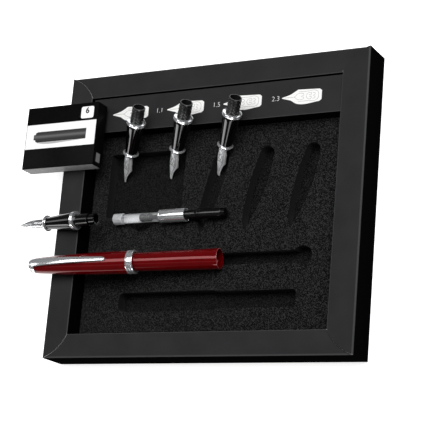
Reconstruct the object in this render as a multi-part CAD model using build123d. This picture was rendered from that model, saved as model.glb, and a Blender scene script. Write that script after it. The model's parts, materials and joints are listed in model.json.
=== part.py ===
from build123d import *
import math
import os

# Calligraphy set box: a flat board tray with a wide folded rim and a foam insert,
# lying open on its back. Its loose pieces lie on the rim, the nib card and the foam.
# Millimetres. The origin is the centre of the tray's underside, +Z points out of the
# open face, +Y points towards the nib card.

# ---------------------------------------------------------------- tray sizes
tray_length = 230.0
tray_width = 202.8
tray_height = 24.4
board = 0.8
side_rim = 18.7
end_rim = 16.5
fold_radius = 2.0
crease_radius = 0.9
tongue_bow = 2.6

# ---------------------------------------------------------------- foam and nib card
liner_thickness = 0.6
foam_thickness = 8.6
lay_in_gap = 0.3
card_height = 11.2
card_depth = 25.4
card_board = 0.8

# ---------------------------------------------------------------- cartridge carton
carton_length = 59.2
carton_width = 45.6
carton_thickness = 11.5
carton_board = 0.45
carton_corner_gap = 0.4
carton_past_rim = 2.9
carton_from_middle = 54.2
flap_gap = 0.12
tuck_length = 4.6
dust_flap_width = 15.0
dust_flap_raise = 3.2
cartridge_count = 6
cartridge_length = 38.0
cartridge_radius = 4.1
cartridge_neck_radius = 2.7
cartridge_neck_length = 3.4
cartridge_shoulder = 2.2
cartridge_wall = 0.6
seal_ball_radius = 1.5
cartridge_mouth_radius = 1.2
ink_gap = 0.05

# ---------------------------------------------------------------- nib units
neck_length = 11.5
neck_radius = 4.7
thread_depth = 0.25
thread_pitch = 1.2
socket_radius = 4.05
stub_length = 5.0
stub_radius = 4.2
rear_ring_width = 2.4
rear_ring_radius = 6.7
grip_length = 22.6
grip_rear_radius = 6.25
grip_front_radius = 4.45
front_ring_width = 1.5
front_ring_radius = 5.7
nib_reach = 23.6
nib_stub = 6.0
nib_radius = 3.6
nib_sheet = 0.35
nib_straight = 8.5
nib_tip_drop = 2.9
nib_root_width = 6.35
nib_root_straight = 3.0
nib_shoulder_width = 6.9
nib_shoulder_at = 13.0
nib_waist_width = 2.9
nib_waist_at = 17.8
breather_at = 11.0
breather_radius = 0.55
slit_width = 0.16
feed_reach = 17.5
feed_stub = 12.0
feed_tip_radius = 0.8
feed_fin_count = 6
feed_fin_start = 2.5
feed_fin_pitch = 1.6
feed_fin_width = 0.5
feed_fin_depth = 0.9
round_tip_width = 1.0
italic_tip_widths = {"italic_1_1": 1.1, "italic_1_5": 1.5, "italic_2_3": 2.3}
rear_collar_length = 5.0
rear_collar_radius = 3.7
rear_collar_wall = 0.8
rear_collar_seat = 4.0
pierce_radius = 1.9
pierce_length = 19.5
pierce_bore = 0.6

# ---------------------------------------------------------------- pen body and cap
barrel_length = 93.0
barrel_mouth_radius = 7.0
barrel_lip_radius = 6.15
barrel_tail_radius = 5.0
barrel_wall = 0.75
barrel_shown = 60.0
mouth_depth = 4.0
barrel_bore_radius = 4.95
barrel_bore_depth = 62.0
knob_bore_radius = 3.75
barrel_end_wall = 3.0
barrel_tail_bevel = 1.2
barrel_tail_drop = 0.9
cap_length = 79.0
cap_lip_radius = 7.9
cap_wall = 0.7
cap_ring_radius = 8.25
cap_ring_width = 5.0
cap_shoulder_at = 10.0
cap_shoulder_radius = 5.9
cap_middle_at = 30.0
cap_middle_radius = 6.85
cap_belly_at = 50.0
cap_belly_radius = 7.5
cap_liner_depth = 8.0
cap_liner_past_tail = 6.0
cap_crown = 5.0
finial_radius = 5.05
finial_length = 4.6
finial_plug_radius = 3.0
clip_length = 56.0
clip_start = 3.4
clip_width = 5.6
clip_tip_width = 3.0
clip_thickness = 0.9
clip_crest_at = 16.8
clip_rise = 1.5
clip_root_lift = 0.35
clip_toe_lift = 0.45
clip_roll = 6.0
fit_clearance = 0.08

# ---------------------------------------------------------------- converter
converter_mouth_radius = 3.95
converter_mouth_length = 8.0
converter_socket_radius = 2.0
converter_socket_depth = 6.5
tube_radius = 3.35
tube_wall = 0.55
tube_start = 6.0
sleeve_start = 37.5
sleeve_length = 20.5
sleeve_radius = 4.7
sleeve_wall = 0.5
sleeve_over_tube = 4.0
sleeve_seat_length = 5.0
sleeve_guide_length = 4.0
sleeve_guide_inset = 0.5
shaft_inset = 7.5
mouth_rib_count = 10
mouth_groove_width = 0.8
mouth_groove_depth = 0.25
piston_start = 21.8
piston_length = 8.0
piston_rod_radius = 1.5
shaft_radius = 3.0
shaft_shown = 8.0
knob_length = 19.5
knob_radius = 3.35
nub_length = 2.6
nub_radius = 2.9
nub_rib_count = 8
nub_groove_width = 0.7
nub_groove_depth = 0.3
seal_fit = 0.05
seal_lip = 0.2
seal_waist = 0.5

# ---------------------------------------------------------------- foam recesses
foam_grip = 2.4
recess_from_wall = 12.5
recess_below_card = 13.3
notch_radius = 10.8
notch_from_left = 29.0
slot_pitch = 33.7
slot_lean = 13.6
slot_from_wall = 102.5
slot_reach = 60.0
slot_below_card = 15.9
slot_belly = 12.6
slot_head = 10.4
slot_right_belly_at = 36.0
slot_left_heel_at = 7.8
slot_left_heel_across = 4.4
slot_right_heel_at = 19.8
slot_right_heel_across = 4.7
converter_slot_grip = 1.3
converter_slot_length = 86.0
converter_slot_from_front = 51.5
finger_hole_radius = 6.9
finger_hole_from_wall = 26.7
pen_recess_from_front = 23.8
pen_recess_from_wall = 29.8
closed_barrel_shown = 59.0
recess_corner = 1.2

# ---------------------------------------------------------------- where loose pieces lie
rest_gap = 0.2
unit_catch = 1.0
unit_first_from_wall = 20.2
unit_pitch = 37.2
unit_turn = 55.0
round_unit_from_side = 33.0
round_unit_below = 7.2
round_unit_roll = 12.0
converter_left = 22.3
converter_below = 2.9
pen_mouth_from_wall = 109.3
pen_mouth_over_slot = 2.55
pen_turn = 1.8

# ---------------------------------------------------------------- levels worked out
half_length = tray_length / 2
half_width = tray_width / 2
well_x = half_length - side_rim
well_y = half_width - end_rim
foam_floor = board + liner_thickness
foam_top = foam_floor + foam_thickness
card_top = foam_top + card_height
card_front = well_y - lay_in_gap - card_depth
unit_length = neck_length + rear_ring_width + grip_length + front_ring_width + nib_reach
grip_start = neck_length + rear_ring_width
front_ring_start = grip_start + grip_length
nib_start = front_ring_start + front_ring_width


# ---------------------------------------------------------------- helpers
def turned(profile):
    """Solid of revolution about X from (along, radius) points; it closes on the axis."""
    along = [point[0] for point in profile]
    outline = [(along[0], 0.0)] + list(profile) + [(along[-1], 0.0)]
    face = make_face(Polyline(*outline, close=True))
    return revolve(Plane.XY * face, Axis.X, 360)


def pipe(start, length, outer, inner):
    """Straight tube along X."""
    return rod(start, length, outer) - rod(start, length, inner)


def rod(start, length, radius):
    """Straight round bar along X."""
    return Plane.YZ.offset(start) * extrude(Circle(radius), length)


def block(low, high):
    """Box between two corners."""
    size = [high[i] - low[i] for i in range(3)]
    middle = [(high[i] + low[i]) / 2 for i in range(3)]
    return Pos(*middle) * Box(*size)


def axis_plane(start, turn, dip):
    """Plane whose X runs down from start: turn is the plan angle, dip the fall."""
    flat, fall = math.cos(math.radians(dip)), math.sin(math.radians(dip))
    side, ahead = math.cos(math.radians(turn)), math.sin(math.radians(turn))
    direction = (flat * side, flat * ahead, -fall)
    upward = (fall * side, fall * ahead, flat)
    return Plane(origin=start, x_dir=direction, z_dir=upward)


def radius_at(profile, along):
    """Radius of a turned profile at a place along it."""
    for (a0, r0), (a1, r1) in zip(profile, profile[1:]):
        if a0 <= along <= a1 and a1 > a0:
            return r0 + (r1 - r0) * (along - a0) / (a1 - a0)
    return profile[-1][1]


def mirrored_x(shape):
    return mirror(shape, about=Plane.YZ)


def mirrored_y(shape):
    return mirror(shape, about=Plane.XZ)


# ---------------------------------------------------------------- tray
def channel_profile(reach, rim, top):
    """Folded side in section: outer wall, rounded fold, rim and inner wall."""
    outer = Rectangle(rim, top, align=(Align.MIN, Align.MIN))
    inner = Pos(board, 0) * Rectangle(rim - 2 * board, top - board, align=(Align.MIN, Align.MIN))
    corner = outer.vertices().group_by(Axis.Y)[-1].sort_by(Axis.X)
    outer = fillet(corner[0], fold_radius)
    outer = fillet(outer.vertices().group_by(Axis.Y)[-1].sort_by(Axis.X)[-1], crease_radius)
    hollow_corner = inner.vertices().group_by(Axis.Y)[-1].sort_by(Axis.X)[0]
    inner = fillet(hollow_corner, fold_radius - board)
    return Pos(-reach, 0) * (outer - inner)


def tongue_cut():
    """Prism over the corner square, past the rounded end of a side's rim tongue."""
    start = (-well_x, well_y)
    end = (-half_length, half_width)
    middle = ((start[0] + end[0]) / 2, (start[1] + end[1]) / 2)
    chord = math.hypot(end[0] - start[0], end[1] - start[1])
    outward = ((end[1] - start[1]) / chord, (start[0] - end[0]) / chord)
    bulge = (middle[0] + tongue_bow * outward[0], middle[1] + tongue_bow * outward[1])
    seam = ThreePointArc(start, bulge, end)
    past = 1.0
    edges = Polyline(end, (-half_length, half_width + past), (-well_x + past, half_width + past),
                     (-well_x + past, well_y), start)
    face = make_face(seam + edges)
    return Pos(0, 0, tray_height - fold_radius) * extrude(face, fold_radius + past)


def side_frame():
    """Left side: full-length outer wall, rim with a tongue at each end, inner wall."""
    section = Plane.XZ * channel_profile(half_length, side_rim, tray_height)
    frame = Pos(0, half_width, 0) * extrude(section, tray_width)
    cut = tongue_cut()
    frame = frame - cut - mirrored_y(cut)
    past = 1.0
    inner_wall = block((-well_x - board, well_y, -past),
                       (-well_x + past, half_width + past, tray_height - fold_radius))
    frame = frame - inner_wall - mirrored_y(inner_wall)
    under_tongue = block((-half_length + fold_radius, well_y, tray_height - fold_radius - past),
                         (-well_x + past, half_width + past, tray_height - board))
    frame = frame - under_tongue - mirrored_y(under_tongue)
    floor_step = block((-well_x - 2 * board, -half_width, -past), (-well_x + past, half_width, board))
    return frame - floor_step


def end_frame(left):
    """Top side: fits between the two sides, one board lower, under their tongues."""
    section = Plane.YZ * channel_profile(half_width, end_rim, tray_height - board)
    length = tray_length - 2 * board
    frame = Pos(-length / 2, 0, 0) * extrude(section, length)
    frame = mirrored_y(frame)
    past = 1.0
    for side in (-1, 1):
        low_x, high_x = sorted((side * (well_x + board), side * (half_length + past)))
        stop = block((low_x, well_y - past, -past), (high_x, well_y + 2 * board, tray_height - 2 * board))
        frame = frame - stop
    floor_step = block((-half_length, well_y - past, -past), (half_length, well_y + 2 * board, board))
    frame = frame - floor_step
    return frame - left - mirrored_x(left)


def tray_parts():
    left = side_frame()
    top = end_frame(left)
    base = block((-half_length + board, -half_width + board, 0),
                 (half_length - board, half_width - board, board))
    return {"tray_base": base, "side_frame_left": left, "side_frame_right": mirrored_x(left),
            "end_frame_top": top, "end_frame_bottom": mirrored_y(top)}


# ---------------------------------------------------------------- foam
recess_left = -well_x + recess_from_wall
recess_top = card_front - recess_below_card
carton_recess_length = carton_length + 2 * carton_corner_gap
carton_recess_width = carton_width + 2 * carton_corner_gap
converter_slot_along = -well_y + converter_slot_from_front
converter_slot_width = 2 * sleeve_radius - converter_slot_grip


def foam_hole(face):
    """Straight-walled recess that goes through the foam insert."""
    past = 1.0
    return Pos(0, 0, foam_floor - past) * extrude(face, foam_thickness + 2 * past)


def carton_recess():
    middle = (recess_left + carton_recess_length / 2, recess_top - carton_recess_width / 2)
    face = Pos(*middle) * RectangleRounded(carton_recess_length, carton_recess_width, recess_corner)
    notch = Pos(recess_left + notch_from_left, recess_top - carton_recess_width) * Circle(notch_radius)
    return foam_hole(face + notch)


def nib_slot(index):
    """Slanted leaf-shaped recess: round head at the top, pointed toe at the lower left."""
    head = slot_head / 2
    belly = slot_belly / 2
    toe = (0.0, -slot_reach)
    left_head = (-head, -head)
    right_head = (head, -head)
    left_heel = (-slot_left_heel_across, slot_left_heel_at - slot_reach)
    right_heel = (slot_right_heel_across, slot_right_heel_at - slot_reach)
    outline = (Line(toe, left_heel)
               + ThreePointArc(left_heel, (-belly, -slot_reach / 2), left_head)
               + ThreePointArc(left_head, (0, 0), right_head)
               + ThreePointArc(right_head, (belly, slot_right_belly_at - slot_reach), right_heel)
               + Line(right_heel, toe))
    head_x = -well_x + slot_from_wall + index * slot_pitch
    head_y = card_front - slot_below_card
    return foam_hole(Pos(head_x, head_y) * Rot(0, 0, -slot_lean) * make_face(outline))


def converter_slot():
    hole_x = well_x - finger_hole_from_wall
    middle = (hole_x - converter_slot_length / 2, converter_slot_along)
    slot = Pos(*middle) * SlotOverall(converter_slot_length, converter_slot_width)
    hole = Pos(hole_x, converter_slot_along) * Circle(finger_hole_radius)
    return foam_hole(slot + hole)


def pen_recess():
    left = -well_x + pen_recess_from_wall
    middle_y = -well_y + pen_recess_from_front
    cap_part = cap_length - foam_grip
    barrel_part = closed_barrel_shown - foam_grip
    cap_width = 2 * cap_lip_radius - foam_grip
    barrel_width = 2 * barrel_mouth_radius - foam_grip
    wide = Pos(left + cap_part / 2, middle_y) * RectangleRounded(cap_part, cap_width, 3 * recess_corner)
    length = barrel_part + cap_part / 2
    narrow = RectangleRounded(length, barrel_width, 2 * recess_corner)
    narrow = Pos(left + cap_part + barrel_part - length / 2, middle_y) * narrow
    return foam_hole(wide + narrow)


def foam_parts():
    edge_x = well_x - lay_in_gap
    edge_y = well_y - lay_in_gap
    liner = block((-edge_x, -edge_y, board), (edge_x, edge_y, foam_floor))
    foam = block((-edge_x, -edge_y, foam_floor), (edge_x, edge_y, foam_top))
    foam = foam - carton_recess() - converter_slot() - pen_recess()
    for index in range(len(italic_tip_widths)):
        foam = foam - nib_slot(index)
    return {"foam_liner": liner, "foam_insert": foam}


def nib_card():
    """Raised strip across the top of the well: folded board, open underneath."""
    edge_x = well_x - lay_in_gap
    back = card_front + card_depth
    card = block((-edge_x, card_front, foam_top), (edge_x, back, card_top))
    card = fillet(card.edges().filter_by(Axis.X).group_by(Axis.Z)[-1], card_board)
    hollow = block((-edge_x - 1, card_front + card_board, foam_top - 1),
                   (edge_x + 1, back - card_board, card_top - card_board))
    return card - hollow


# ---------------------------------------------------------------- carton and cartridges
carton_x = -half_length + carton_past_rim
carton_low = tray_height + rest_gap
carton_left = carton_x - carton_length / 2
carton_front = carton_from_middle - carton_width / 2


def carton_sleeve():
    low = (carton_left, carton_front, carton_low)
    high = (carton_left + carton_length, carton_front + carton_width, carton_low + carton_thickness)
    outer = block(low, high)
    inner = block((low[0] + carton_board, low[1] - 1, low[2] + carton_board),
                  (high[0] - carton_board, high[1] - carton_board, high[2] - carton_board))
    return outer - inner


def tuck_flap():
    """End flap hinged on the carton's upper front edge, its tuck curved about that edge."""
    reach = carton_thickness - 2 * carton_board - 2 * flap_gap
    side = carton_board + flap_gap
    panel = Pos(carton_board / 2, -reach / 2) * Rectangle(carton_board, reach)
    tuck_turn = math.degrees(tuck_length / reach)
    ring = Circle(reach) - Circle(reach - carton_board)
    wedge_reach = 2 * reach
    wedge = Polyline((0, 0), (0, -wedge_reach),
                     (wedge_reach * math.sin(math.radians(tuck_turn)),
                      -wedge_reach * math.cos(math.radians(tuck_turn))), close=True)
    section = panel + (ring & make_face(wedge))
    length = carton_length - 2 * side
    flap = extrude(Plane.YZ * section, length)
    hinge = (carton_left + side, carton_front, carton_low + carton_thickness - carton_board - flap_gap / 2)
    return Pos(*hinge) * flap


def dust_flaps():
    """Two side flaps folded in behind the tuck flap, clear of its tuck."""
    start = carton_front + 2 * carton_board
    low = carton_low + dust_flap_raise
    high = carton_low + carton_thickness - 2 * carton_board
    left = carton_left + carton_board
    flap = block((left, start, low), (left + dust_flap_width, start + carton_board, high))
    other = Pos(carton_length - 2 * carton_board - dust_flap_width, 0, 0) * flap
    return Compound(children=[flap, other])


def cartridge_profile(shrink):
    """Profile of a cartridge along its axis, or of its inside when it is shrunk."""
    radius = cartridge_radius - shrink
    neck = cartridge_neck_radius - shrink
    shoulder = cartridge_neck_length + cartridge_shoulder
    return [(shrink, neck), (cartridge_neck_length, neck), (shoulder, radius),
            (cartridge_length - shrink, radius)]


def cartridge_row(shape):
    """The same turned shape once for each cartridge in the carton."""
    inside = carton_length - 2 * carton_board
    pitch = inside / cartridge_count
    back = carton_front + carton_width - carton_board - flap_gap
    height = carton_low + carton_board + cartridge_radius + flap_gap
    row = []
    for index in range(cartridge_count):
        x = carton_left + carton_board + pitch * (index + 0.5)
        plane = axis_plane((x, back - cartridge_length, height), 90, 0)
        row.append(plane.location * shape)
    return Compound(children=row)


def carton_parts():
    shell = turned(cartridge_profile(0)) - turned(cartridge_profile(cartridge_wall))
    ball_middle = cartridge_wall + seal_ball_radius
    shell = shell - rod(-1, ball_middle + 1, cartridge_mouth_radius)
    ball = Pos(ball_middle, 0, 0) * Sphere(seal_ball_radius)
    ink_start = cartridge_neck_length + cartridge_shoulder
    ink = rod(ink_start, cartridge_length - cartridge_wall - ink_start - ink_gap,
              cartridge_radius - cartridge_wall - ink_gap)
    return {"carton_sleeve": carton_sleeve(), "carton_tuck_flap": tuck_flap(),
            "carton_dust_flaps": dust_flaps(), "ink_cartridges": cartridge_row(shell),
            "cartridge_ink": cartridge_row(ink), "cartridge_seals": cartridge_row(ball)}


# ---------------------------------------------------------------- nib units
def threaded_neck():
    """Rear neck of a nib unit: thread rings outside, converter socket inside."""
    profile = [(0, neck_radius - thread_depth)]
    turns = int((neck_length - thread_pitch) / thread_pitch)
    for index in range(turns):
        crest = (index + 0.5) * thread_pitch
        profile += [(crest, neck_radius), (crest + thread_pitch / 2, neck_radius - thread_depth)]
    profile += [(neck_length, neck_radius - thread_depth), (grip_start, neck_radius - thread_depth),
                (grip_start, stub_radius), (grip_start + stub_length, stub_radius)]
    neck = turned(profile)
    return neck - rod(-1, neck_length + 1, socket_radius) - rod(0, grip_start + stub_length + 1, nib_radius)


def grip_profile():
    return [(grip_start, grip_rear_radius), (grip_start + 1, grip_rear_radius),
            (front_ring_start - 1, grip_front_radius), (front_ring_start, grip_front_radius)]


def grip():
    body = turned(grip_profile())
    body = body - rod(grip_start - 1, stub_length + 1, stub_radius + fit_clearance)
    return body - rod(grip_start, grip_length + 1, nib_radius + fit_clearance)


def rear_ring():
    edge = 0.5
    profile = [(neck_length, rear_ring_radius - edge), (neck_length + edge, rear_ring_radius),
               (grip_start - edge, rear_ring_radius), (grip_start, rear_ring_radius - edge)]
    return turned(profile) - rod(neck_length - 1, rear_ring_width + 2, neck_radius - thread_depth)


def front_ring():
    """Thin ring that flares out at the front end of the grip."""
    profile = [(front_ring_start, grip_front_radius), (front_ring_start + 0.3, grip_front_radius + 0.2),
               (front_ring_start + 0.6, front_ring_radius), (nib_start - 0.3, front_ring_radius),
               (nib_start, front_ring_radius - 0.5)]
    return turned(profile) - rod(front_ring_start - 1, front_ring_width + 2, nib_radius + fit_clearance)


def nib(tip_width):
    """Bent steel nib: an arched sheet cut to its outline, with slit and breather hole."""
    arch = Circle(nib_radius) - Circle(nib_radius - nib_sheet)
    arch = arch & (Pos(0, nib_radius) * Rectangle(4 * nib_radius, 2 * nib_radius))
    start = nib_start - nib_stub
    straight = nib_stub + nib_straight
    rest = nib_reach - nib_straight
    slope = Vector(rest, 0, -nib_tip_drop)
    body = extrude(Plane.YZ.offset(start) * arch, straight)
    body = body + extrude(Plane.YZ.offset(start + straight) * arch, slope.length, dir=slope)
    tip = nib_start + nib_reach
    shoulder = nib_start + nib_shoulder_at
    root = nib_start + nib_root_straight
    waist = nib_start + nib_waist_at
    half_root = nib_root_width / 2
    half = nib_shoulder_width / 2
    half_waist = nib_waist_width / 2 + tip_width / 4
    half_tip = tip_width / 2
    outline = (Line((start, -half_root), (start, half_root))
               + Line((start, half_root), (root, half_root))
               + Line((root, half_root), (shoulder, half))
               + ThreePointArc((shoulder, half), (waist, half_waist), (tip, half_tip))
               + Line((tip, half_tip), (tip, -half_tip))
               + ThreePointArc((tip, -half_tip), (waist, -half_waist), (shoulder, -half))
               + Line((shoulder, -half), (root, -half_root))
               + Line((root, -half_root), (start, -half_root)))
    below = 2 * nib_tip_drop + nib_radius
    body = body & (Pos(0, 0, -below) * extrude(make_face(outline), below + 2 * nib_radius))
    breather = nib_start + breather_at
    body = body - Pos(breather, 0, 0) * Cylinder(breather_radius, 4 * nib_radius)
    slit = block((breather, -slit_width / 2, -below), (tip + 1, slit_width / 2, 2 * nib_radius))
    return body - slit


def feed():
    """Ribbed feed under the nib, with the piercing tube at its rear end."""
    inner = nib_radius - nib_sheet - fit_clearance
    start = nib_start - feed_stub
    straight = feed_stub + nib_straight
    slope = Vector(nib_reach - nib_straight, 0, -nib_tip_drop)
    body = rod(start, straight, inner)
    body = body + extrude(Plane.YZ.offset(start + straight) * Circle(inner), slope.length, dir=slope)
    cone = turned([(start, inner), (nib_start - 1, inner), (nib_start + feed_reach, feed_tip_radius)])
    body = body & (Pos(0, 0, -feed_tip_radius / 2) * cone)
    for index in range(feed_fin_count):
        at = nib_start + feed_fin_start + index * feed_fin_pitch
        body = body - block((at, -nib_radius, -2 * nib_radius),
                            (at + feed_fin_width, nib_radius, -inner + feed_fin_depth))
    pierce_start = start - pierce_length
    body = body + rod(pierce_start, pierce_length + 0.5, pierce_radius)
    return body - rod(pierce_start - 1, pierce_length, pierce_bore)


def rear_collar():
    """Narrow collar that stands out of the round unit's neck."""
    return pipe(-rear_collar_length, rear_collar_length + rear_collar_seat, rear_collar_radius,
                rear_collar_radius - rear_collar_wall)


def unit_pieces(tip_width):
    return {"neck": threaded_neck(), "rear_ring": rear_ring(), "grip": grip(),
            "front_ring": front_ring(), "nib": nib(tip_width), "feed": feed()}


def italic_plane(index):
    """A unit leans on the card's front edge, caught by its rear ring, nib tip on the liner."""
    touch = grip_start + unit_catch
    radius = radius_at(grip_profile(), touch)
    run = unit_length - touch
    foot = foam_floor + rest_gap
    dip = 30.0
    for _ in range(40):
        tip_offset = (nib_radius - nib_tip_drop - nib_sheet) * math.cos(math.radians(dip))
        rise = card_top + (radius + rest_gap) / math.cos(math.radians(dip)) - foot + tip_offset
        dip = math.degrees(math.asin(rise / run))
    flat = math.cos(math.radians(dip))
    edge_height = card_top + (radius + rest_gap) / math.cos(math.radians(dip))
    side = math.cos(math.radians(unit_turn)) * flat
    ahead = math.sin(math.radians(unit_turn)) * flat
    tip_x = -well_x + unit_first_from_wall + index * unit_pitch
    x = tip_x + unit_length * side
    y = card_front + touch * ahead
    z = edge_height + touch * math.sin(math.radians(dip))
    return axis_plane((x, y, z), unit_turn + 180, dip)


def round_plane():
    """The round unit lies across the left rim on the taper of its grip."""
    taper = math.degrees(math.atan2(grip_rear_radius - grip_front_radius, grip_length - 2))
    height = tray_height + rest_gap + grip_rear_radius / math.cos(math.radians(taper))
    rise = (grip_start + 1) * math.sin(math.radians(taper))
    start = (-half_length + round_unit_from_side, -round_unit_below, height + rise)
    return axis_plane(start, 180, taper)


def unit_parts():
    parts = {}
    for index, (name, tip_width) in enumerate(italic_tip_widths.items()):
        location = italic_plane(index).location
        for piece, shape in unit_pieces(tip_width).items():
            parts[f"{name}_{piece}"] = location * shape
    location = round_plane().location * Rot(-round_unit_roll, 0, 0)
    for piece, shape in unit_pieces(round_tip_width).items():
        parts[f"round_{piece}"] = location * shape
    parts["round_rear_collar"] = location * rear_collar()
    return parts


# ---------------------------------------------------------------- pen body and cap
def barrel_profile():
    """Outside of the barrel, from its open mouth to its tapered tail."""
    return [(0, barrel_mouth_radius), (barrel_shown, barrel_lip_radius),
            (barrel_length - barrel_tail_bevel, barrel_tail_radius),
            (barrel_length, barrel_tail_radius - barrel_tail_drop)]


def barrel():
    body = turned(barrel_profile())
    mouth = rod(-1, mouth_depth + 1, barrel_mouth_radius - barrel_wall)
    bore = rod(0, barrel_bore_depth, barrel_bore_radius)
    tail_bore = rod(0, barrel_length - barrel_end_wall, knob_bore_radius)
    return body - mouth - bore - tail_bore


def cap_profile():
    """Outside of the cap from its crown to its lip: a swelling taper."""
    return [(0, finial_radius), (cap_shoulder_at, cap_shoulder_radius), (cap_middle_at, cap_middle_radius),
            (cap_belly_at, cap_belly_radius), (cap_length - cap_ring_width, cap_lip_radius)]


def cap_shell():
    start = finial_length
    outside = [(start, radius_at(cap_profile(), start))] + cap_profile()[1:]
    outer = turned(outside)
    inside = [(cap_crown + finial_length, radius_at(cap_profile(), cap_crown + finial_length) - cap_wall)]
    inside += [(along, radius - cap_wall) for along, radius in cap_profile()[1:]
               if along > cap_crown + finial_length]
    inside += [(cap_length, cap_lip_radius - cap_wall)]
    return outer - turned(inside) - rod(0, finial_length + cap_crown, finial_plug_radius)


def cap_ring():
    """Bright ring round the cap's lip, shown with a bead at each edge."""
    start = cap_length - cap_ring_width
    edge = 0.4
    profile = [(start, cap_ring_radius - edge), (start + edge, cap_ring_radius),
               (cap_length - edge, cap_ring_radius), (cap_length, cap_ring_radius - edge)]
    return turned(profile) - rod(start - 1, cap_ring_width + 2, cap_lip_radius - cap_wall)


def liner_bore(at):
    """Radius of the inner liner's bore at a distance in from the lip: the tail's own taper."""
    along = barrel_shown + at
    return radius_at(barrel_profile(), along) + fit_clearance


def cap_liner():
    """Inner liner whose tapered bore grips the barrel's tail when the cap is posted."""
    tail = barrel_length - barrel_shown
    deep = cap_length - tail - cap_liner_past_tail
    outside = [(deep, radius_at(cap_profile(), deep) - cap_wall - fit_clearance)]
    outside += [(along, radius - cap_wall - fit_clearance) for along, radius in cap_profile()[1:]
                if deep < along < cap_length - cap_liner_depth]
    outside += [(cap_length - cap_liner_depth, radius_at(cap_profile(), cap_length - cap_liner_depth)
                 - cap_wall - fit_clearance)]
    narrow = liner_bore(tail - barrel_tail_bevel)
    bore = [(deep - 1, narrow), (cap_length - tail + barrel_tail_bevel, narrow),
            (cap_length - cap_liner_depth + 1, liner_bore(cap_liner_depth - 1))]
    return turned(outside) - turned(bore)


def finial():
    """Bright end of the cap: a short collar with a slightly domed face and a plug."""
    profile = [(0, finial_radius - 1.0), (0.6, finial_radius - 0.2), (1.2, finial_radius),
               (finial_length, radius_at(cap_profile(), finial_length))]
    plug = rod(finial_length, cap_crown, finial_plug_radius - fit_clearance)
    return turned(profile) + plug


def clip():
    """Sprung clip: rises from the finial, runs along the cap and ends in a rounded toe."""
    end = clip_start + clip_length
    root_height = finial_radius + clip_root_lift
    toe_height = radius_at(cap_profile(), end) + clip_toe_lift
    middle = clip_start + clip_crest_at
    middle_height = radius_at(cap_profile(), middle) + clip_rise
    under = Spline((clip_start, root_height), (middle, middle_height), (end, toe_height))
    side = make_face(under
                     + Line((end, toe_height), (end, toe_height + clip_thickness))
                     + Spline((end, toe_height + clip_thickness), (middle, middle_height + clip_thickness),
                              (clip_start, root_height + clip_thickness))
                     + Line((clip_start, root_height + clip_thickness), (clip_start, root_height)))
    strip = extrude(Plane.XZ * side, clip_width, both=True)
    root = clip_width / 2
    toe = clip_tip_width / 2
    plan = (Line((clip_start, -root), (clip_start, root))
            + Line((clip_start, root), (end - toe, toe))
            + ThreePointArc((end - toe, toe), (end, 0), (end - toe, -toe))
            + Line((end - toe, -toe), (clip_start, -root)))
    return strip & extrude(make_face(plan), 2 * cap_ring_radius)


def pen_plane():
    """The posted pen: cap on the rim's inner edge, barrel mouth on the converter slot's edge."""
    total = cap_length + barrel_shown
    turn = math.radians(pen_turn)
    slot_edge = converter_slot_along - converter_slot_width / 2
    mouth_z = foam_top + math.sqrt((barrel_mouth_radius + rest_gap) ** 2 - pen_mouth_over_slot ** 2)
    dip = 7.0
    for _ in range(40):
        tilt = math.radians(dip)
        run = pen_mouth_from_wall / (math.cos(tilt) * math.cos(turn))
        radius = radius_at(cap_profile(), total - run)
        height = tray_height + (radius + rest_gap) / math.cos(tilt) - mouth_z
        dip = math.degrees(math.asin(height / run))
    tilt = math.radians(dip)
    flat = total * math.cos(tilt)
    start = (-well_x + pen_mouth_from_wall - flat * math.cos(turn),
             slot_edge + pen_mouth_over_slot - flat * math.sin(turn), mouth_z + total * math.sin(tilt))
    return axis_plane(start, pen_turn, dip)


def pen_parts():
    plane = pen_plane()
    cap_location = plane.location
    barrel_location = cap_location * Pos(cap_length + barrel_shown, 0, 0) * Rot(0, 0, 180)
    clip_location = cap_location * Rot(-clip_roll, 0, 0)
    return {"pen_barrel": barrel_location * barrel(), "cap_shell": cap_location * cap_shell(),
            "cap_ring": cap_location * cap_ring(), "cap_liner": cap_location * cap_liner(),
            "cap_finial": cap_location * finial(), "cap_clip": clip_location * clip()}


# ---------------------------------------------------------------- converter
knob_start = sleeve_start + sleeve_length + shaft_shown
converter_length = knob_start + knob_length + nub_length


def converter_mouth():
    edge = 1.0
    profile = [(0, converter_mouth_radius - edge), (edge, converter_mouth_radius),
               (converter_mouth_length - edge / 2, converter_mouth_radius),
               (converter_mouth_length, tube_radius)]
    body = turned(profile) - rod(-1, converter_socket_depth + 1, converter_socket_radius)
    body = body - rod(tube_start, converter_mouth_length, tube_radius)
    groove = block((2 * edge, -mouth_groove_width / 2, converter_mouth_radius - mouth_groove_depth),
                   (converter_mouth_length - edge, mouth_groove_width / 2, 2 * converter_mouth_radius))
    for index in range(mouth_rib_count):
        body = body - Rot(360 * index / mouth_rib_count, 0, 0) * groove
    return body


def converter_tube():
    bore = tube_radius - tube_wall
    return pipe(tube_start, sleeve_start + sleeve_over_tube - tube_start, tube_radius, bore)


def converter_sleeve():
    """Bright open-ended sleeve: a seat holds the clear tube and a guide ring the shaft."""
    body = pipe(sleeve_start, sleeve_length, sleeve_radius, sleeve_radius - sleeve_wall)
    seat = pipe(sleeve_start, sleeve_seat_length, sleeve_radius - sleeve_wall / 2, tube_radius)
    guide_start = sleeve_start + sleeve_length - sleeve_guide_inset - sleeve_guide_length
    guide = pipe(guide_start, sleeve_guide_length, sleeve_radius - sleeve_wall / 2,
                 shaft_radius + fit_clearance)
    return body + seat + guide


def piston_rod():
    """Rod that carries the seal, thickened into the shaft that shows behind the sleeve."""
    start = piston_start + piston_length
    shaft = sleeve_start + sleeve_length - shaft_inset
    thin = rod(start, shaft - start, piston_rod_radius)
    return thin + rod(shaft, knob_start - shaft, shaft_radius)


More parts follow.
